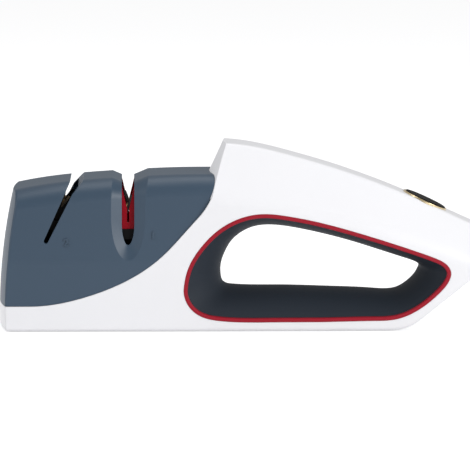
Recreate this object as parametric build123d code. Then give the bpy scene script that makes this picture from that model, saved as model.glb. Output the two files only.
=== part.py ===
from build123d import *
import math
import os

# Pull-through knife sharpener with a loop handle, millimetres, +Z up.
# The nose points to -X and the tail to +X; the left side is the -Y side.
# The origin is the middle of the footprint, on the surface that the feet stand on.

# Overall sizes
overall_length = 235.0
overall_height = 86.4
body_width = 48.0
foot_proud = 0.5
body_wall = 2.4
overrun = 60.0
quarter_turn = 90.0

# Front of the nose: bowed in plan and curved in side view
front_side_radius = 263.0
front_plan_radius = 82.0
front_corner_radius = 1.0
front_centre_height = 5.0

# Handle section: flat top, leaning upper sides, upright lower sides
handle_top_half = 11.0
handle_corner_radius = 2.6
handle_knee_radius = 16.0

# Hump front, which leans back and is bowed in plan
hump_plan_radius = 58.0
hump_lean = 24.5
hump_edge_radius = 0.3
hump_facing = 0.6

# Tail underside and tip
tail_knee_radius = 22.0
tail_tip_radius = 5.0
bottom_edge_radius = 1.8

# Outlines in side view, as shares of the overall length (from the middle) and height
handle_top_share = (
    (-0.11, 1.004), (-0.0438, 1.0), (0.0166, 0.977), (0.0762, 0.9375), (0.1234, 0.9016),
    (0.1800, 0.854), (0.2349, 0.8021), (0.3132, 0.7176), (0.3991, 0.6134), (0.4485, 0.5532),
    (0.53, 0.452),
)
handle_knee_share = (
    0.715, 0.70, 0.672, 0.648, 0.622,
    0.592, 0.557, 0.502, 0.434, 0.392,
    0.325,
)
seam_share = (
    (-0.436, 0.142), (-0.348, 0.176), (-0.260, 0.262), (-0.178, 0.409), (-0.115, 0.594), (-0.082, 0.720),
)
hump_foot_share = (-0.102, 0.72)
tail_knee_share = 0.309
tail_tip_share = (0.5179, 0.4676)
tail_top_share = (-0.02, 1.21)

# Nose cover
cover_wall = 2.8
seam_gap = 0.1
cover_inset = 0.3
cover_top_half = 21.3
cover_corner_radius = 9.5
cover_knee_radius = 30.0
cover_knee_share = 0.38
cover_top_share = (
    (-0.54, 0.711), (-0.465, 0.756), (-0.366, 0.799), (-0.277, 0.819),
    (-0.208, 0.830), (-0.119, 0.838), (-0.03, 0.841),
)
cover_edge_radius = 1.2
cover_front_share = -0.43

# Coarse slot, upright, with a flared valley that runs over the cover
coarse_nip_share = (-0.2438, 0.676)
coarse_ridge_share = 0.8225
coarse_slot_width = 5.7
coarse_slot_straight_share = 0.580
coarse_slot_tip_share = 0.469
valley_width = 15.6
valley_depth = 2.1
valley_straight_share = 0.636
valley_high_share = 0.650
valley_tip_share = 0.390

# Fine slot, which leans towards the tail
fine_nip_share = (-0.3694, 0.689)
fine_ridge_share = 0.800
fine_slot_lean = 25.7
fine_slot_foot_width = 2.0
fine_slot_top_width = 3.2
fine_slot_flare = 1.4
fine_slot_mouth_depth = 5.2
fine_slot_foot_share = 0.482

# Wheels: each pair leans to both sides of the blade plane.
# Each line gives the radius, the height of the crossing above the axle, and the thickness.
wheel_lean = 17.5
wheel_gap = 0.6
coarse_wheel = (7.6, 3.8, 1.1)
fine_wheel = (6.2, 3.4, 1.2)
hub_radius = 3.0
hub_flange_radius = 3.6
hub_flange = 0.5
axle_radius = 1.5
axle_head_radius = 2.3
axle_head_height = 0.5
running_gap = 0.05
side_gap = 0.3
press_gap = 0.01
wheel_edge = 0.25

# Carriers: the moulded cartridges that hold the wheels.
# Each notch line gives the depth of the notch and of the slit below it, and the height of the end plates.
carrier_wall = 1.6
carrier_top = 3.6
carrier_foot_width = 5.0
carrier_foot_length = 16.0
carrier_side_gap = 2.2
carrier_notch_angle = 13.5
carrier_slit_width = 0.9
carrier_boss_radius = 3.2
coarse_notch = (1.6, 7.8, 8.6)
fine_notch = (1.6, 2.6, 3.6)
floor_gap = 0.8

# Frame that stands on the saddle of the body and carries both carriers
frame_thickness = 2.4
frame_web_half = 7.0
frame_post_radius = 2.8
frame_post_length = 6.0
tray_wall = 1.2
tray_rim = 2.4
frame_front_share = -0.462
frame_rear_share = -0.185
seat_gap = 0.3

# Lip on the saddle that centres the cover
lip_height = 2.6
lip_wall = 1.4
lip_gap = 0.15
lip_rear_share = -0.150

# Screws
screw_radius = 1.45
screw_hole_radius = 1.7
screw_head_radius = 2.9
screw_head_height = 2.2
screw_grip = 11.5
well_radius = 4.6
well_bore_radius = 3.3
cover_boss_radius = 3.7
cover_boss_height = 13.0
drive_radius = 1.2
drive_depth = 1.2
nose_screw_share = ((-0.4468, 0.29), (-0.3064, 0.31))
small_screw_radius = 1.2
small_head_radius = 2.1
small_head_height = 1.4

# Grip loop: ring at the side faces, waist in the middle plane
ring_share = (
    (-0.135, 0.239), (-0.129, 0.159), (-0.119, 0.121), (-0.095, 0.079), (-0.066, 0.062),
    (0.040, 0.054), (0.150, 0.055), (0.240, 0.060), (0.278, 0.065), (0.301, 0.081),
    (0.335, 0.130), (0.371, 0.214), (0.389, 0.281), (0.392, 0.322), (0.383, 0.366),
    (0.362, 0.399), (0.329, 0.432), (0.220, 0.528), (0.111, 0.607), (0.060, 0.632),
    (0.024, 0.641), (-0.005, 0.633), (-0.034, 0.608), (-0.071, 0.547), (-0.101, 0.463),
    (-0.124, 0.363),
)
waist_share = (
    (-0.059, 0.290), (-0.058, 0.261), (-0.055, 0.236), (-0.046, 0.217), (-0.036, 0.212),
    (0.060, 0.206), (0.160, 0.198), (0.245, 0.187), (0.281, 0.183), (0.300, 0.193),
    (0.315, 0.218), (0.330, 0.258), (0.338, 0.296), (0.340, 0.317), (0.337, 0.330),
    (0.329, 0.344), (0.302, 0.370), (0.198, 0.460), (0.102, 0.524), (0.052, 0.545),
    (0.023, 0.545), (0.001, 0.532), (-0.020, 0.502), (-0.038, 0.456), (-0.050, 0.398),
    (-0.058, 0.333),
)
waist_steps_share = (-1.0, -0.72, -0.40, 0.0, 0.40, 0.72, 1.0)
ring_width = 1.9
ring_depth = 1.8
ring_proud = 0.25
ring_gap = 0.05
ring_edge_radius = 0.35
liner_thickness = 1.7
loop_wall = 1.8

# Pegs that line up the two body halves
peg_share = ((-0.190, 0.190), (0.010, 0.800), (0.190, 0.705), (0.4350, 0.425))
peg_radius = 1.5
peg_length = 4.0
peg_gap = 0.08
peg_boss_radius = 3.4

# Plain badge on the handle top
badge_share = (0.3498, 0.6745)
badge_slope = 24.0
badge_radius = 11.0
badge_rim = 0.9
badge_height = 1.7
badge_proud = 0.7
badge_disc_height = 2.1
badge_gap = 0.05
badge_edge_radius = 0.3

# Rubber feet
foot_share = ((-0.3766, 0.29), (0.205, 0.29))
foot_length = 17.0
foot_width = 7.0
foot_recess = 1.0


def placed(shares):
    """Points in side view from shares of the overall length and height."""
    return [(along * overall_length, up * overall_height) for along, up in shares]


def arc_drop(reach, radius):
    """How far an arc falls back at a distance from its middle."""
    return radius - math.sqrt(radius ** 2 - reach ** 2)


def shifted(points, distance, closed=False):
    """Outline points moved square to the outline, to the right of its direction."""
    moved = []
    last = len(points) - 1
    for index, (along, up) in enumerate(points):
        if closed:
            before, after = points[index - 1], points[(index + 1) % len(points)]
        else:
            before, after = points[max(index - 1, 0)], points[min(index + 1, last)]
        run, rise = after[0] - before[0], after[1] - before[1]
        if index == 0 and not closed:
            rise = 0
        length = math.hypot(run, rise)
        moved.append((along + rise / length * distance, up - run / length * distance))
    return moved


def side_solid(outline, half=body_width):
    """Solid of an outline drawn in side view, centred on the middle plane."""
    return extrude(Plane.XZ * make_face(outline), amount=half, both=True)


def upright(radius, low, high, x=0, y=0):
    """Upright cylinder between two heights."""
    return Pos(x, y, low) * extrude(Circle(radius), amount=high - low)


def block(x_low, x_high, y_low, y_high, z_low, z_high):
    """Box between limits."""
    middle = Pos((x_low + x_high) / 2, (y_low + y_high) / 2, (z_low + z_high) / 2)
    return middle * Box(x_high - x_low, y_high - y_low, z_high - z_low)


def arch_section(x, half, knee, knee_radius, top_half, top, corner_radius):
    """Cross-section: upright sides, leaning upper sides and a flat top."""
    low = -overrun
    points = ((-half, low), (-half, knee), (-top_half, top), (top_half, top), (half, knee), (half, low))
    radii = (knee_radius, corner_radius, corner_radius, knee_radius)
    outline = FilletPolyline(*points, radius=radii) + Line(points[-1], points[0])
    return Plane.YZ.offset(x) * make_face(outline)


def handle_arch(inset):
    """Space under the handle's top and between its sides."""
    sections = []
    for (x, top), knee_up in zip(placed(handle_top_share), handle_knee_share):
        sections.append(arch_section(
            x, body_width / 2 - inset, knee_up * overall_height, handle_knee_radius,
            handle_top_half - inset / 2, top - inset, handle_corner_radius))
    start_x = handle_top_share[0][0] * overall_length
    half = body_width / 2 - inset
    return loft(sections) + block(-overall_length, start_x, -half, half, -overrun, overall_height)


def cover_arch(inset):
    """Space under the nose cover's top and between its sides."""
    sections = []
    for x, top in placed(cover_top_share):
        sections.append(arch_section(
            x, body_width / 2 - cover_inset - inset, cover_knee_share * overall_height,
            cover_knee_radius, cover_top_half - inset, top - inset, cover_corner_radius - inset))
    return loft(sections)


def front_barrel(inset):
    """Space behind the bowed front of the nose, between upright sides."""
    half = body_width / 2 - inset
    centre_x = front_side_radius - overall_length / 2
    front_x = centre_x - front_side_radius + inset
    bow_x = front_x + arc_drop(half, front_plan_radius - inset)
    outline = ThreePointArc((bow_x, -half), (front_x, 0), (bow_x, half))
    outline += Polyline((bow_x, half), (centre_x, half), (centre_x, -half), (bow_x, -half))
    plan = make_face(outline)
    corners = [vertex for vertex in plan.vertices() if vertex.X < centre_x - inset]
    plan = fillet(corners, front_corner_radius)
    axis = Axis((centre_x, 0, front_centre_height), (0, 1, 0))
    return revolve(Plane.XY.offset(front_centre_height) * plan, axis=axis)


def under_form(inset):
    """Space above the flat bottom and the rising tail, behind the tail's tip."""
    low = (-overall_length, foot_proud)
    knee = (tail_knee_share * overall_length, foot_proud)
    tip, top = placed((tail_tip_share, tail_top_share))
    back = (-overall_length, top[1])
    outline = FilletPolyline(low, knee, tip, top, back, close=True,
                             radius=(0, tail_knee_radius, tail_tip_radius, 0, 0))
    face = make_face(outline)
    if inset:
        face = offset(face, amount=-inset)
    return extrude(Plane.XZ * face, amount=body_width, both=True)


def seam_curve(inset):
    """Curve between nose cover and body in side view."""
    points = shifted(placed(seam_share), inset)
    lean = math.radians(hump_lean)
    return Spline(*points, tangents=((1, 0), (math.sin(lean), math.cos(lean))))


def rear_zone(inset):
    """Everything behind the seam, with the bowed hump front above it."""
    far = overall_length
    curve = seam_curve(inset)
    start, end = curve @ 0, curve @ 1
    outline = curve + Polyline(end, (far, end.Y), (far, -far), (-far, -far), (-far, start.Y), start)
    lower = side_solid(outline)
    lean = math.radians(hump_lean)
    foot_x, foot_z = placed((hump_foot_share,))[0]
    base = end.Y + 2 * min(inset, 0)
    front_x = foot_x + (base - foot_z) * math.tan(lean) + inset / math.cos(lean)
    bow_x = front_x + arc_drop(body_width, hump_plan_radius)
    plan = ThreePointArc((bow_x, -body_width), (front_x, 0), (bow_x, body_width))
    plan += Polyline((bow_x, body_width), (far, body_width), (far, -body_width), (bow_x, -body_width))
    hump = extrude(Plane.XY.offset(base) * make_face(plan), amount=overall_height,
                   dir=(math.sin(lean), 0, math.cos(lean)))
    return lower + hump


def seam_height(x, inset=0):
    """Height of the seam curve at a place along the length."""
    curve = seam_curve(inset)
    low, high = 0, 1
    for _ in range(40):
        middle = (low + high) / 2
        if (curve @ middle).X < x:
            low = middle
        else:
            high = middle
    return (curve @ low).Y


def body_form(inset):
    """Outer form of the white body, or its cavity when it is inset by the wall."""
    form = front_barrel(inset) & under_form(inset) & handle_arch(inset)
    if inset:
        return form & rear_zone(inset)
    steep = -math.sin(math.radians(wheel_lean))
    low_faces = [face for face in form.faces() if face.normal_at().Z < steep]
    edges = [edge for face in low_faces for edge in face.edges()]
    rim = [edge for edge in edges if edges.count(edge) == 1
           and (edge.center().X < 0 or abs(edge.center().Y) > body_width / 4)]
    form = fillet(rim, bottom_edge_radius) & rear_zone(0)
    foot_z = placed((hump_foot_share,))[0][1]
    hump_faces = [face for face in form.faces().filter_by(lambda face: face.normal_at().X < -hump_facing)
                  if face.center().Z > foot_z and face.center().X < 0]
    crease = [edge for face in hump_faces for edge in face.edges() if edge.center().Z > foot_z + hump_edge_radius]
    return fillet(crease, hump_edge_radius)


def cover_form(inset):
    """Outer form of the nose cover without its slots, or its cavity."""
    return cover_arch(inset) & front_barrel(inset)


def loop_outline(openness, growth):
    """Closed outline between the waist (0) and the ring's inner edge (1)."""
    rim = shifted(placed(ring_share), -ring_width, closed=True)
    waist = placed(waist_share)
    points = [(a[0] + (b[0] - a[0]) * openness, a[1] + (b[1] - a[1]) * openness)
              for a, b in zip(waist, rim)]
    return make_face(Spline(*shifted(points, growth, closed=True), periodic=True))


def ring_outline(growth):
    """Closed outline of the trim ring's outer edge."""
    return make_face(Spline(*shifted(placed(ring_share), growth, closed=True), periodic=True))


def grip_core(growth):
    """Hourglass-shaped space of the finger loop between the two trim rings."""
    reach = body_width / 2 - ring_depth
    sections = [Pos(0, step * reach, 0) * (Plane.XZ * loop_outline(step ** 2, growth))
                for step in waist_steps_share]
    return loft(sections)


def ring_space(face, low, high):
    """Prisms of a face on both sides, between two distances from the middle plane."""
    plate = extrude(Plane.XZ * face, amount=high - low)
    return Pos(0, -low, 0) * plate + Pos(0, high, 0) * plate


def badge_place():
    """Place of the badge seat on the handle top, square to the slope."""
    x, z = placed((badge_share,))[0]
    return Pos(x, 0, z) * Rot(0, badge_slope, 0)


def feet_faces(growth):
    """Outlines of the four feet, seen from above."""
    spots = []
    for along, across in foot_share:
        for side in (-1, 1):
            spots.append((along * overall_length, side * across * body_width))
    return [Pos(x, y) * SlotOverall(foot_length + growth, foot_width + growth) for x, y in spots]


def nose_screw_places():
    """Places of the upright screws that hold the nose: x, y and seat height."""
    places = []
    for along, across in nose_screw_share:
        x = along * overall_length
        for side in (-1, 1):
            places.append((x, side * across * body_width, seam_height(x - screw_head_radius) - body_wall))
    return places


def body_solid():
    """Both halves of the white body in one piece, before the split."""
    hollow = body_form(body_wall) - grip_core(liner_thickness + loop_wall)
    for x, z in placed(peg_share):
        hollow -= Pos(x, body_width, z) * (Plane.XZ * extrude(Circle(peg_boss_radius), amount=2 * body_width))
    for x, y, seat in nose_screw_places():
        hollow -= upright(well_radius, 0, overall_height, x, y)
    body = body_form(0) - hollow
    body -= grip_core(liner_thickness)
    seat = body_width / 2 - ring_depth
    body -= ring_space(ring_outline(0), seat, body_width)
    for x, y, seat in nose_screw_places():
        body -= upright(well_bore_radius, 0, seat, x, y)
        body -= upright(screw_hole_radius, 0, overall_height / 2, x, y)
    for face in feet_faces(0):
        body -= Pos(0, 0, foot_proud - foot_recess) * extrude(face, amount=2 * foot_recess)
    body -= badge_place() * upright(badge_radius + badge_gap, badge_proud - badge_height, body_width)
    return body + saddle_lip()


def saddle_lip():
    """Lip inside the nose cover that centres it on the body."""
    reach = cover_wall + lip_gap
    lip = (rear_zone(-lip_height) - rear_zone(0)) & (cover_form(reach) - cover_form(reach + lip_wall))
    return lip & block(-overall_length, lip_rear_share * overall_length, -body_width, body_width,
                       0, overall_height)


def body_half(body, side):
    """One half of the body with its pegs or its peg holes; side is -1 on the left."""
    half = body & block(-overall_length, overall_length, min(0, side * body_width),
                        max(0, side * body_width), 0, 2 * overall_height)
    for x, z in placed(peg_share):
        if side < 0:
            half += Pos(x, peg_length, z) * (Plane.XZ * extrude(Circle(peg_radius), amount=2 * peg_length))
        else:
            hole = extrude(Circle(peg_radius + peg_gap), amount=peg_length + peg_gap)
            half -= Pos(x, peg_length + peg_gap, z) * (Plane.XZ * hole)
    return half


def slot_outline(half_width, straight, tip, high):
    """Upright slot in side view: straight sides that run into a rounded foot."""
    left = EllipticalCenterArc((0, straight), half_width, straight - tip, 2 * quarter_turn,
                               arc_size=quarter_turn)
    right = EllipticalCenterArc((0, straight), half_width, straight - tip, 3 * quarter_turn,
                                arc_size=quarter_turn)
    frame = Polyline((half_width, straight), (half_width, high), (-half_width, high), (-half_width, straight))
    return make_face(left + right + frame)


def cover_side_plane(side):
    """Plane on the leaning side of the cover at the coarse slot, facing out."""
    x = coarse_nip_share[0] * overall_length
    half = body_width / 2 - cover_inset
    knee = cover_knee_share * overall_height
    lean = math.atan2(half - cover_top_half, coarse_ridge_share * overall_height - knee)
    outward = (0, side * math.cos(lean), math.sin(lean))
    return Plane(origin=(x, side * half, knee), x_dir=(-side, 0, 0), z_dir=outward), knee


def valley_side(side):
    """Flared mouth on one side, from the slot's edge out to a lens-shaped outline."""
    plane, knee = cover_side_plane(side)
    flare = (valley_width - coarse_slot_width) / 2 / valley_depth
    reach = valley_depth / 2
    outer_half = valley_width / 2 + flare * reach
    straight = coarse_slot_straight_share * overall_height - knee
    tip = coarse_slot_tip_share * overall_height - knee
    high = valley_high_share * overall_height - knee
    lens_straight = valley_straight_share * overall_height - knee
    lens_tip = valley_tip_share * overall_height - knee
    lens_tip -= (tip - lens_tip) / valley_depth * reach
    lens = slot_outline(outer_half, lens_straight, lens_tip, high)
    slot = slot_outline(coarse_slot_width / 2, straight, tip, high)
    return loft([plane.offset(reach) * lens, plane.offset(-valley_depth) * slot], ruled=True)


def valley_over():
    """Flared valley that runs up one side, over the cover's top and down the other."""
    x = coarse_nip_share[0] * overall_length
    half = body_width / 2 - cover_inset
    knee = cover_knee_share * overall_height
    top = coarse_ridge_share * overall_height
    low = valley_straight_share * overall_height
    low_half = half + (cover_top_half - half) * (low - knee) / (top - knee)
    corners = ((x, -low_half, low), (x, -cover_top_half, top), (x, cover_top_half, top), (x, low_half, low))
    path = FilletPolyline(*corners, radius=cover_corner_radius)
    reach = valley_depth / 2
    flare = (valley_width - coarse_slot_width) / 2 / valley_depth
    outer = valley_width / 2 + flare * reach
    inner = coarse_slot_width / 2
    profile = Polygon((-outer, -reach), (outer, -reach), (inner, valley_depth), (-inner, valley_depth),
                      align=None)
    start = Plane(origin=corners[0], x_dir=(1, 0, 0), z_dir=path % 0)
    return sweep(start * profile, path=path)


def coarse_slot():
    """Upright slot right through the cover."""
    x = coarse_nip_share[0] * overall_length
    face = slot_outline(coarse_slot_width / 2, coarse_slot_straight_share * overall_height,
                        coarse_slot_tip_share * overall_height, overall_height)
    return Pos(x, 0, 0) * extrude(Plane.XZ * face, amount=body_width, both=True)


def fine_slot():
    """Leaning slot right through the cover, wider at its top, with its tail side flared."""
    nip_z = fine_nip_share[1] * overall_height
    lean = math.cos(math.radians(fine_slot_lean))
    foot = (fine_slot_foot_share * overall_height - nip_z) / lean
    ridge = (fine_ridge_share * overall_height - nip_z) / lean
    neck = ridge - fine_slot_mouth_depth
    foot_half, top_half = fine_slot_foot_width / 2, fine_slot_top_width / 2
    far = ridge + fine_slot_mouth_depth
    sides = Polyline((foot_half, foot + foot_half), (top_half, neck), (top_half + 2 * fine_slot_flare, far),
                     (-top_half, far), (-top_half, neck), (-foot_half, foot + foot_half))
    end = ThreePointArc((-foot_half, foot + foot_half), (0, foot), (foot_half, foot + foot_half))
    return fine_place() * extrude(Plane.XZ * make_face(sides + end), amount=body_width, both=True)


def coarse_place():
    """Place of the coarse pair: its origin is where the two wheels cross."""
    x, z = placed((coarse_nip_share,))[0]
    return Pos(x, 0, z)


def fine_place():
    """Place of the fine pair, leaning towards the tail."""
    x, z = placed((fine_nip_share,))[0]
    return Pos(x, 0, z) * Rot(0, fine_slot_lean, 0)


def nose_cover():
    """Cover over both slots: a thin shell, open below and behind."""
    outer = cover_form(0) - rear_zone(-seam_gap)
    front_x = cover_front_share * overall_length
    knee = cover_knee_share * overall_height
    rims = [edge for edge in outer.edges() if edge.center().X < front_x and edge.center().Z > knee]
    cover = fillet(rims, cover_edge_radius) - cover_form(cover_wall)
    over_lip = lip_height + lip_gap
    for x, y, seat in nose_screw_places():
        edge = math.copysign(body_width / 2, y)
        low = seat + body_wall
        high = low + cover_boss_height
        boss = upright(cover_boss_radius, low, high, x, y) - rear_zone(-frame_thickness - seam_gap)
        rib = block(x - cover_wall / 2, x + cover_wall / 2, min(y, edge), max(y, edge), low, high)
        cover += (boss + (rib - rear_zone(-over_lip))) & cover_form(cover_wall / 2)
        cover -= upright(screw_radius + press_gap, 0, seat + screw_grip + seam_gap, x, y)
    for cut in (coarse_slot(), valley_over(), valley_side(-1), valley_side(1), fine_slot()):
        cover -= cut
    return cover


def wheel_place(radius, nip_height, side):
    """Place of one wheel in its pair: its sharpening face leans through the crossing line."""
    lean = math.radians(wheel_lean)
    middle = Pos(side * nip_height * math.sin(lean), side * (radius + wheel_gap / 2),
                 -nip_height * math.cos(lean))
    return middle * Rot(0, -side * (quarter_turn + wheel_lean), 0)


def wheel(radius, thickness):
    """Flat abrasive wheel with a bore for its hub."""
    disc = extrude(Circle(radius) - Circle(hub_radius + press_gap), amount=thickness)
    rims = [edge for edge in disc.edges().filter_by(GeomType.CIRCLE) if edge.radius > hub_flange_radius]
    return chamfer(rims, wheel_edge)


def hub(thickness):
    """Flanged bush in the wheel, with a seat for the head of the axle."""
    bush = upright(hub_radius, 0, thickness) + upright(hub_flange_radius, -hub_flange, 0)
    bush -= upright(axle_radius + running_gap, -hub_flange, thickness)
    seat = thickness - axle_head_height - side_gap / 2
    return bush - upright(axle_head_radius + side_gap / 2, seat, thickness)


def carrier_half(radius, nip_height, thickness):
    """Half the inner width of a carrier across its blade slot."""
    return (radius + nip_height) * math.sin(math.radians(wheel_lean)) + thickness + carrier_side_gap


def carrier_reach(radius):
    """Half the inner length of a carrier along the blade slot."""
    return 2 * radius + wheel_gap / 2 + side_gap


def carrier_low(radius, nip_height):
    """Height of a carrier's underside below the crossing line."""
    return -(radius + nip_height) * math.cos(math.radians(wheel_lean)) - floor_gap - carrier_wall


def axle_end(radius, nip_height, thickness):
    """Where a stub axle ends inside the wall of its carrier, along the axle."""
    lean = math.radians(wheel_lean)
    wall = carrier_half(radius, nip_height, thickness) + carrier_wall
    return axle_radius - (wall - nip_height * math.sin(lean)) / math.cos(lean)


def axle(radius, nip_height, thickness):
    """Headed stub axle held by the carrier on one side of the wheel."""
    shaft = upright(axle_radius, axle_end(radius, nip_height, thickness), thickness)
    return shaft + upright(axle_head_radius, thickness - axle_head_height, thickness)


def carrier(radius, nip_height, thickness, notch_depth, slit_depth, plate_top):
    """Open-topped cartridge for a pair of wheels, with notched end plates and two feet."""
    half = carrier_half(radius, nip_height, thickness)
    reach = carrier_reach(radius)
    low = carrier_low(radius, nip_height)
    wide = half + carrier_wall
    far = reach + carrier_wall
    hull = block(-wide, wide, -far, far, low, carrier_top)
    shape = hull - block(-half, half, -reach, reach, low + carrier_wall, 2 * carrier_top)
    for side in (-1, 1):
        edge = side * far
        inner = edge - side * carrier_wall
        shape += block(-wide, wide, min(edge, inner), max(edge, inner), 0, plate_top)
    foot = wide + carrier_foot_width
    foot_reach = carrier_foot_length / 2
    shape += block(-foot, foot, -foot_reach, foot_reach, low, low + carrier_wall)
    end = axle_end(radius, nip_height, thickness)
    for side in (-1, 1):
        place = wheel_place(radius, nip_height, side)
        boss_face = -hub_flange - side_gap
        shape += (place * upright(carrier_boss_radius, -2 * wide, boss_face)) & hull
        shape -= place * upright(axle_radius + press_gap, end - running_gap, boss_face)
        shape -= upright(small_screw_radius + lip_gap, low, low + carrier_wall,
                         side * (foot - carrier_foot_width / 2))
    slit = carrier_slit_width / 2
    spread = slit + (plate_top + notch_depth) * math.tan(math.radians(carrier_notch_angle))
    notch = Polygon((-slit, -slit_depth), (slit, -slit_depth), (slit, -notch_depth), (spread, plate_top),
                    (-spread, plate_top), (-slit, -notch_depth), align=None)
    return shape - extrude(Plane.XZ * notch, amount=far, both=True)


def small_screws(radius, nip_height, thickness):
    """Two screws through the feet of a carrier."""
    foot = carrier_half(radius, nip_height, thickness) + carrier_wall + carrier_foot_width / 2
    low = carrier_low(radius, nip_height)
    top = low + carrier_wall
    screws = []
    for side in (-1, 1):
        screw = upright(small_screw_radius, low - frame_post_length, top, side * foot)
        screw += upright(small_head_radius, top, top + small_head_height, side * foot)
        screws.append(screw)
    return screws


def frame_deck(radius, nip_height, thickness):
    """Deck under a carrier, with a tray for the carrier and a post below each of its screws."""
    foot = carrier_half(radius, nip_height, thickness) + carrier_wall + carrier_foot_width
    top = carrier_low(radius, nip_height)
    under = top - frame_thickness
    half = frame_web_half + frame_thickness
    deck = block(-foot, foot, -half, half, under, top)
    wide = foot - carrier_foot_width
    inner = carrier_reach(radius) + carrier_wall + seat_gap
    outer = inner + tray_wall
    deck += block(-wide, wide, -outer, outer, under, top)
    for side in (-1, 1):
        deck += block(-wide, wide, min(side * inner, side * outer), max(side * inner, side * outer),
                      top, top + tray_rim)
        x = side * (foot - carrier_foot_width / 2)
        deck += upright(frame_post_radius, under - frame_post_length, under, x)
        deck -= upright(small_screw_radius + press_gap, under - frame_post_length, top, x)
    return deck


def deck_line(place, radius, nip_height, thickness):
    """Both ends of a deck's middle layer in side view."""
    foot = carrier_half(radius, nip_height, thickness) + carrier_wall + carrier_foot_width
    level = carrier_low(radius, nip_height) - frame_thickness / 2
    ends = [(place * Pos(side * foot, 0, level)).position for side in (-1, 1)]
    return [(end.X, end.Z) for end in ends]


def mechanism_frame():
    """Frame on the saddle of the body: a floor, two webs and a deck for each carrier."""
    front, rear = frame_front_share * overall_length, frame_rear_share * overall_length
    floor = rear_zone(-frame_thickness) - rear_zone(-seam_gap)
    floor &= block(front, rear, -body_width, body_width, 0, overall_height)
    line = deck_line(fine_place(), *fine_wheel) + deck_line(coarse_place(), *coarse_wheel)
    web = Polygon((line[0][0], 0), *line, (line[-1][0], 0), align=None)
    webs = extrude(Plane.XZ * web, amount=frame_thickness / 2, both=True) - rear_zone(-frame_thickness / 2)
    frame = floor
    for side in (-1, 1):
        frame += Pos(0, side * frame_web_half, 0) * webs
    frame += coarse_place() * frame_deck(*coarse_wheel)
    frame += fine_place() * frame_deck(*fine_wheel)
    for x, y, seat in nose_screw_places():
        frame -= upright(screw_hole_radius, 0, seat + screw_grip, x, y)
    return frame & cover_form(cover_wall + lip_gap + lip_wall + seat_gap)


def drive_recess(top, x, y):
    """Recess for a driver in a screw's head, from below."""
    return Pos(x, y, top) * extrude(RegularPolygon(drive_radius, 6), amount=drive_depth)


def nose_screws():
    """Four upright screws that hold nose cover, frame and body together."""
    screws = []
    for x, y, seat in nose_screw_places():
        screw = upright(screw_head_radius, seat - screw_head_height, seat, x, y)
        screw += upright(screw_radius, seat, seat + screw_grip, x, y)
        screws.append(screw - drive_recess(seat - screw_head_height, x, y))
    return screws


def trim_ring(side):
    """Trim ring that frames the finger loop on one side face."""
    height = ring_depth + ring_proud
    seat = body_width / 2 - ring_depth
    face = ring_outline(-ring_gap) - loop_outline(1, 0)
    ring = Pos(0, side * seat, 0) * extrude(Plane.XZ * face, amount=-side * height)
    rims = ring.faces().sort_by(Axis((0, 0, 0), (0, side, 0)))[-1].edges()
    return fillet(rims, ring_edge_radius)


def grip_liner():
    """Soft lining of the finger loop."""
    return grip_core(liner_thickness - ring_gap) - grip_core(0)


def badge_bezel():
    """Rim of the plain badge."""
    bezel = upright(badge_radius, badge_proud - badge_height, badge_proud)
    bezel -= upright(badge_radius - badge_rim, badge_proud - badge_height, badge_proud)
    rims = bezel.faces().sort_by(Axis.Z)[-1].edges()
    return badge_place() * fillet(rims, badge_edge_radius)


def badge_disc():
    """Plain disc of the badge, a little proud of its rim."""
    low = badge_proud - badge_height
    disc = upright(badge_radius - badge_rim - badge_gap, low, low + badge_disc_height)
    return badge_place() * fillet(disc.faces().sort_by(Axis.Z)[-1].edges(), badge_edge_radius)


def foot_pads():
    """Four rubber pads under the body."""
    return [extrude(face, amount=foot_proud + foot_recess) for face in feet_faces(-2 * badge_gap)]


def write_all():
    """Build every sub-part and write one file for each."""
    os.makedirs("parts", exist_ok=True)
    body = body_solid()
    nodes = {
        "nose_cover": nose_cover(),
        "mechanism_frame": mechanism_frame(),
        "grip_liner": grip_liner(),
        "badge_bezel": badge_bezel(),
        "badge_disc": badge_disc(),
        "nose_screws": Compound(children=nose_screws()),
        "foot_pads": Compound(children=foot_pads()),
    }
    room = cover_form(cover_wall + seat_gap)
    small = []
    for name, place, sizes, depths in (
            ("coarse", coarse_place(), coarse_wheel, coarse_notch),
            ("fine", fine_place(), fine_wheel, fine_notch)):
        radius, nip_height, thickness = sizes
        nodes[name + "_carrier"] = (place * carrier(*sizes, *depths)) & room
        small += [place * screw for screw in small_screws(*sizes)]
        for word, side in (("left", -1), ("right", 1)):
            spot = place * wheel_place(radius, nip_height, side)
            nodes[name + "_wheel_" + word] = spot * wheel(radius, thickness)
            nodes[name + "_hub_" + word] = spot * hub(thickness)
            nodes[name + "_axle_" + word] = spot * axle(*sizes)
    nodes["carrier_screws"] = Compound(children=small)
    for word, side in (("left", -1), ("right", 1)):
        nodes["body_shell_" + word] = body_half(body, side)
        nodes["trim_ring_" + word] = trim_ring(side)
    for name, shape in nodes.items():
        export_step(shape, "parts/" + name + ".step")


write_all()
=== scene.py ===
import math

import bpy
from mathutils import Matrix, Vector


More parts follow.
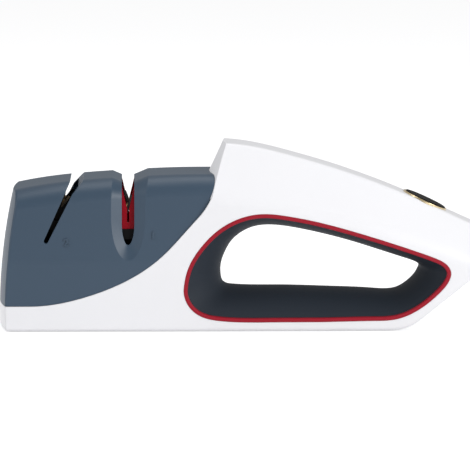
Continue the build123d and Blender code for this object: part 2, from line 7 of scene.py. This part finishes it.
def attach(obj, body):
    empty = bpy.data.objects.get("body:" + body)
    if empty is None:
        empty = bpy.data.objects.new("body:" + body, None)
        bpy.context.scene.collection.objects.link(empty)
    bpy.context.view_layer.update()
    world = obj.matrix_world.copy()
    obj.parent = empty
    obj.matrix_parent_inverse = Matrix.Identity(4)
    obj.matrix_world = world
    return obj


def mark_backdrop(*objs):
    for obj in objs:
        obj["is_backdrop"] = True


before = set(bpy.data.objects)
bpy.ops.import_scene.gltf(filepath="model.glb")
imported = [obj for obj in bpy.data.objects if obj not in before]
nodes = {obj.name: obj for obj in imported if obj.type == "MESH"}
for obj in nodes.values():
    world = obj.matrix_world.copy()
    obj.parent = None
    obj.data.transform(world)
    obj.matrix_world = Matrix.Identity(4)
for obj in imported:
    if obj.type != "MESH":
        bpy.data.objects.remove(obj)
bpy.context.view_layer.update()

MM = 0.001
WHITE = [1, 1, 1, 1]

# The cover's leaning side, in mm: height and half width at its upper edge and at its knee
COVER_TOP_Z, COVER_TOP_HALF = 70.5, 21.3
COVER_KNEE_Z, COVER_KNEE_HALF = 32.83, 23.7
# Raised digits, in mm: place along x and z of each, height of the type, relief and edge radius
DIGIT_PLACES = {"1": (-45.9, 45.1), "2": (-85.8, 41.9)}
DIGIT_SIZE, DIGIT_RELIEF, DIGIT_EDGE = 5.0, 0.45, 0.08
# Studio, in metres and watts: half width and glow of the table, fill light, and what the lamps face
FLOOR_HALF, FLOOR_GLOW, FILL_LIGHT = 3.0, 0.55, 0.49
LAMP_AIM = (0, 0, 0.04)
LAMPS = {
    "overhead": {"place": (-0.1, 0.05, 1.2), "size": (1.2, 0.4), "power": 3.9},
    "right_key": {"place": (0.85, -0.95, 0.35), "size": (0.7, 0.5), "power": 8.8},
    "left_fill": {"place": (-1.2, -0.45, 0.5), "size": (0.4, 0.8), "power": 3.0},
}
# Camera of the photograph, in mm and degrees
CAMERA_PLACE, CAMERA_TARGET = (-56.3, -1084.4, 219.5), (-7.1, 0.0, 41.75)
CAMERA_SENSOR, CAMERA_LENS, CAMERA_ROLL = 36.0, 179.2, 0.36


def paint(code):
    """Linear RGBA of an sRGB hex colour."""
    channels = [int(code[i:i + 2], 16) / 255 for i in (1, 3, 5)]
    return [c / 12.92 if c <= 0.04045 else ((c + 0.055) / 1.055) ** 2.4 for c in channels] + [1.0]


def per_mm(size):
    """Texture scale whose pattern repeats about every size millimetres."""
    return 1.0 / (size * MM)


def add(tree, kind, inputs=None, **settings):
    """Adds a node, sets its properties, and fills or links its inputs."""
    item = tree.nodes.new(kind)
    for name, value in settings.items():
        setattr(item, name, value)
    for name, value in (inputs or {}).items():
        if isinstance(value, bpy.types.NodeSocket):
            tree.links.new(value, item.inputs[name])
        else:
            item.inputs[name].default_value = value
    return item


def noise(tree, place, size, **inputs):
    """Noise whose pattern repeats about every size millimetres."""
    values = {"Vector": place, "Scale": per_mm(size), **inputs}
    return add(tree, "ShaderNodeTexNoise", values).outputs["Fac"]


def new_material(name):
    """An empty node material with its output."""
    material = bpy.data.materials.new(name)
    material.use_nodes = True
    tree = material.node_tree
    tree.nodes.clear()
    return material, tree, add(tree, "ShaderNodeOutputMaterial")


def moulded(name, colour, rough, grain_mm, grain_height, rough_spread=0.05, tint_spread=0.03, **sockets):
    """Moulded or cut surface: grain in bump and roughness, a slight drift of colour, and softened edges."""
    drift_mm, edge_mm = 38.0, 0.3
    material, tree, output = new_material(name)
    place = add(tree, "ShaderNodeTexCoord").outputs["Object"]
    grain = noise(tree, place, grain_mm, Detail=4.0, Roughness=0.6)
    drift = noise(tree, place, drift_mm, Detail=2.0)
    base = paint(colour)
    dark = [c * (1 - tint_spread) for c in base[:3]] + [1.0]
    tone = add(tree, "ShaderNodeMix", {0: drift, 6: dark, 7: base}, data_type="RGBA").outputs[2]
    spread = {"Value": grain, "To Min": max(0.02, rough - rough_spread), "To Max": rough + rough_spread}
    sheen = add(tree, "ShaderNodeMapRange", spread).outputs["Result"]
    soft_edge = add(tree, "ShaderNodeBevel", {"Radius": edge_mm * MM}, samples=6).outputs["Normal"]
    relief = {"Height": grain, "Strength": 1.0, "Distance": grain_height * MM, "Normal": soft_edge}
    bump = add(tree, "ShaderNodeBump", relief).outputs["Normal"]
    surface = {"Base Color": tone, "Roughness": sheen, "Normal": bump, **sockets}
    shader = add(tree, "ShaderNodeBsdfPrincipled", surface)
    tree.links.new(shader.outputs["BSDF"], output.inputs["Surface"])
    return material


# Glossy white ABS, injection moulded: bright, with soft-edged reflections
white_abs = moulded("white_abs", "#EFEFF2", 0.34, 1.2, 0.002, IOR=1.5)
# Slate ABS with a satin spark-eroded grain: broad, dim reflections
slate_abs = moulded("slate_abs", "#33475A", 0.42, 0.35, 0.006, IOR=1.5)
# Crimson ABS ring, satin
crimson_abs = moulded("crimson_abs", "#9A0822", 0.40, 0.6, 0.003, IOR=1.35)
# Soft-touch thermoplastic rubber in the loop: dark and matte with a faint sheen
grip_rubber = moulded("grip_rubber", "#282F38", 0.62, 0.3, 0.006, IOR=1.33)
# Glossy red ABS cartridge
cartridge_red = moulded("cartridge_red", "#9A031A", 0.30, 0.8, 0.002, IOR=1.2)
# Black glass-filled nylon of the inner frame and the rear cartridge
black_nylon = moulded("black_nylon", "#09090B", 0.5, 0.3, 0.005, IOR=1.2)
# Sintered abrasive: coarse dark grit, and a finer cream grit painted down to tan, as painted shade for the
# dim slot it sits deep in
coarse_grit = moulded("coarse_grit", "#343130", 0.70, 0.18, 0.03, 0.12, 0.2)
shaded_fine_grit = moulded("shaded_fine_grit", "#6E604C", 0.62, 0.10, 0.012, 0.1, 0.15)
# Turned steel and sintered bronze
turned_steel = moulded("turned_steel", "#B9BABD", 0.28, 0.4, 0.002, 0.06, 0.05, Metallic=1.0)
sintered_bronze = moulded("sintered_bronze", "#A98A5E", 0.42, 0.25, 0.006, 0.08, 0.1, Metallic=1.0)
# Pale gold plating on the badge rim, and black lacquer on its disc
pale_gold = moulded("pale_gold", "#D9C6A0", 0.20, 0.5, 0.001, 0.04, 0.03, Metallic=1.0)
black_lacquer = moulded("black_lacquer", "#0E0B0A", 0.5, 0.9, 0.001, 0.03, 0.1, IOR=1.1)
# Matte rubber pads
pad_rubber = moulded("pad_rubber", "#2B2B2E", 0.8, 0.4, 0.02)

finishes = {
    "body_shell": white_abs,
    "nose_cover": slate_abs,
    "grip_liner": grip_rubber,
    "trim_ring": crimson_abs,
    "badge_bezel": pale_gold,
    "badge_disc": black_lacquer,
    "mechanism_frame": black_nylon,
    "coarse_carrier": cartridge_red,
    "fine_carrier": black_nylon,
    "coarse_wheel": coarse_grit,
    "fine_wheel": shaded_fine_grit,
    "coarse_hub": sintered_bronze,
    "fine_hub": sintered_bronze,
    "coarse_axle": turned_steel,
    "fine_axle": turned_steel,
    "nose_screws": turned_steel,
    "carrier_screws": turned_steel,
    "foot_pads": pad_rubber,
}
for name, piece in nodes.items():
    kind = next(k for k in finishes if name.startswith(k))
    piece.data.materials.clear()
    piece.data.materials.append(finishes[kind])


def linked(name, data):
    """A new object of the data, in the scene."""
    item = bpy.data.objects.new(name, data)
    bpy.context.scene.collection.objects.link(item)
    return item


def raised_digit(text, x, z, side):
    """Small moulded digit that stands a little proud of the cover's leaning side."""
    lean = math.atan2(COVER_KNEE_HALF - COVER_TOP_HALF, COVER_TOP_Z - COVER_KNEE_Z)
    half = COVER_KNEE_HALF - (z - COVER_KNEE_Z) * math.tan(lean)
    curve = bpy.data.curves.new("digit_curve", "FONT")
    curve.body = text
    curve.size = DIGIT_SIZE * MM
    curve.extrude = DIGIT_RELIEF * MM
    curve.bevel_depth = DIGIT_EDGE * MM
    curve.align_x = "CENTER"
    curve.align_y = "CENTER"
    drawn = linked("digit_curve", curve)
    bpy.context.view_layer.update()
    data = bpy.data.meshes.new_from_object(drawn.evaluated_get(bpy.context.evaluated_depsgraph_get()))
    bpy.data.objects.remove(drawn)
    across = Vector((-side, 0, 0))
    out = Vector((0, side * math.cos(lean), math.sin(lean)))
    up = out.cross(across)
    place = Matrix((across, up, out)).transposed().to_4x4()
    place.translation = Vector((x, side * half, z)) * MM
    data.transform(place)
    data.materials.clear()
    data.materials.append(slate_abs)
    piece = linked(f"digit_{text}_{'left' if side < 0 else 'right'}", data)
    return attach(piece, "housing")


def shown_rays(tree):
    """1 for the rays that show the background: camera, glossy and transmission rays. 0 for the rest."""
    rays = add(tree, "ShaderNodeLightPath").outputs
    seen = {0: rays["Is Camera Ray"], 1: rays["Is Glossy Ray"]}
    seen = {0: add(tree, "ShaderNodeMath", seen, operation="ADD").outputs[0], 1: rays["Is Transmission Ray"]}
    return add(tree, "ShaderNodeMath", seen, operation="ADD", use_clamp=True).outputs[0]


def floor():
    """Pale table top. It looks white to the camera and in reflections, and keeps the object's shadow."""
    grain_mm, grain_height = 2.0, 0.02
    material, tree, output = new_material("pale_table")
    grain = noise(tree, add(tree, "ShaderNodeTexCoord").outputs["Object"], grain_mm)
    bump = add(tree, "ShaderNodeBump", {"Height": grain, "Distance": grain_height * MM}).outputs["Normal"]
    matt = add(tree, "ShaderNodeBsdfDiffuse", {"Color": paint("#E9E9EA"), "Normal": bump}).outputs["BSDF"]
    glow = add(tree, "ShaderNodeEmission", {"Color": WHITE, "Strength": FLOOR_GLOW}).outputs["Emission"]
    lifted = add(tree, "ShaderNodeAddShader", {0: matt, 1: glow}).outputs["Shader"]
    mixed = add(tree, "ShaderNodeMixShader", {0: shown_rays(tree), 1: matt, 2: lifted}).outputs["Shader"]
    tree.links.new(mixed, output.inputs["Surface"])
    corners = [(-1, -1), (1, -1), (1, 1), (-1, 1)]
    data = bpy.data.meshes.new("floor")
    data.from_pydata([(x * FLOOR_HALF, y * FLOOR_HALF, 0) for x, y in corners], [], [(0, 1, 2, 3)])
    data.materials.append(material)
    piece = linked("floor", data)
    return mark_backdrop(piece)


def softbox(name, place, size, power):
    """Soft rectangular lamp that faces the object."""
    data = bpy.data.lights.new(name, "AREA")
    data.shape = "RECTANGLE"
    data.size, data.size_y = size
    data.energy = power
    lamp = linked(name, data)
    lamp.location = place
    lamp.rotation_euler = (Vector(LAMP_AIM) - Vector(place)).to_track_quat("-Z", "Y").to_euler()


def surround():
    """Plain, even fill light from the studio."""
    world = bpy.data.worlds.new("studio")
    bpy.context.scene.world = world
    world.use_nodes = True
    tree = world.node_tree
    tree.nodes.clear()
    glow = add(tree, "ShaderNodeBackground", {"Color": WHITE, "Strength": FILL_LIGHT})
    output = add(tree, "ShaderNodeOutputWorld")
    tree.links.new(glow.outputs["Background"], output.inputs["Surface"])


def photo_camera():
    """Camera at the photograph's place: a long lens, low in front of the left side."""
    place, target = Vector(CAMERA_PLACE) * MM, Vector(CAMERA_TARGET) * MM
    data = bpy.data.cameras.new("photo_camera")
    data.sensor_width = CAMERA_SENSOR
    data.lens = CAMERA_LENS
    data.clip_start, data.clip_end = 0.05, 20.0
    camera = linked("photo_camera", data)
    aim = (target - place).to_track_quat("-Z", "Y").to_matrix().to_4x4()
    roll = Matrix.Rotation(math.radians(CAMERA_ROLL), 4, "Z")
    camera.matrix_world = Matrix.Translation(place) @ aim @ roll
    bpy.context.scene.camera = camera


for side in (-1, 1):
    for text, (x, z) in DIGIT_PLACES.items():
        raised_digit(text, x, z, side)
floor()
surround()
for name, lamp in LAMPS.items():
    softbox(name, **lamp)
photo_camera()
bpy.context.scene.view_settings.view_transform = "Standard"
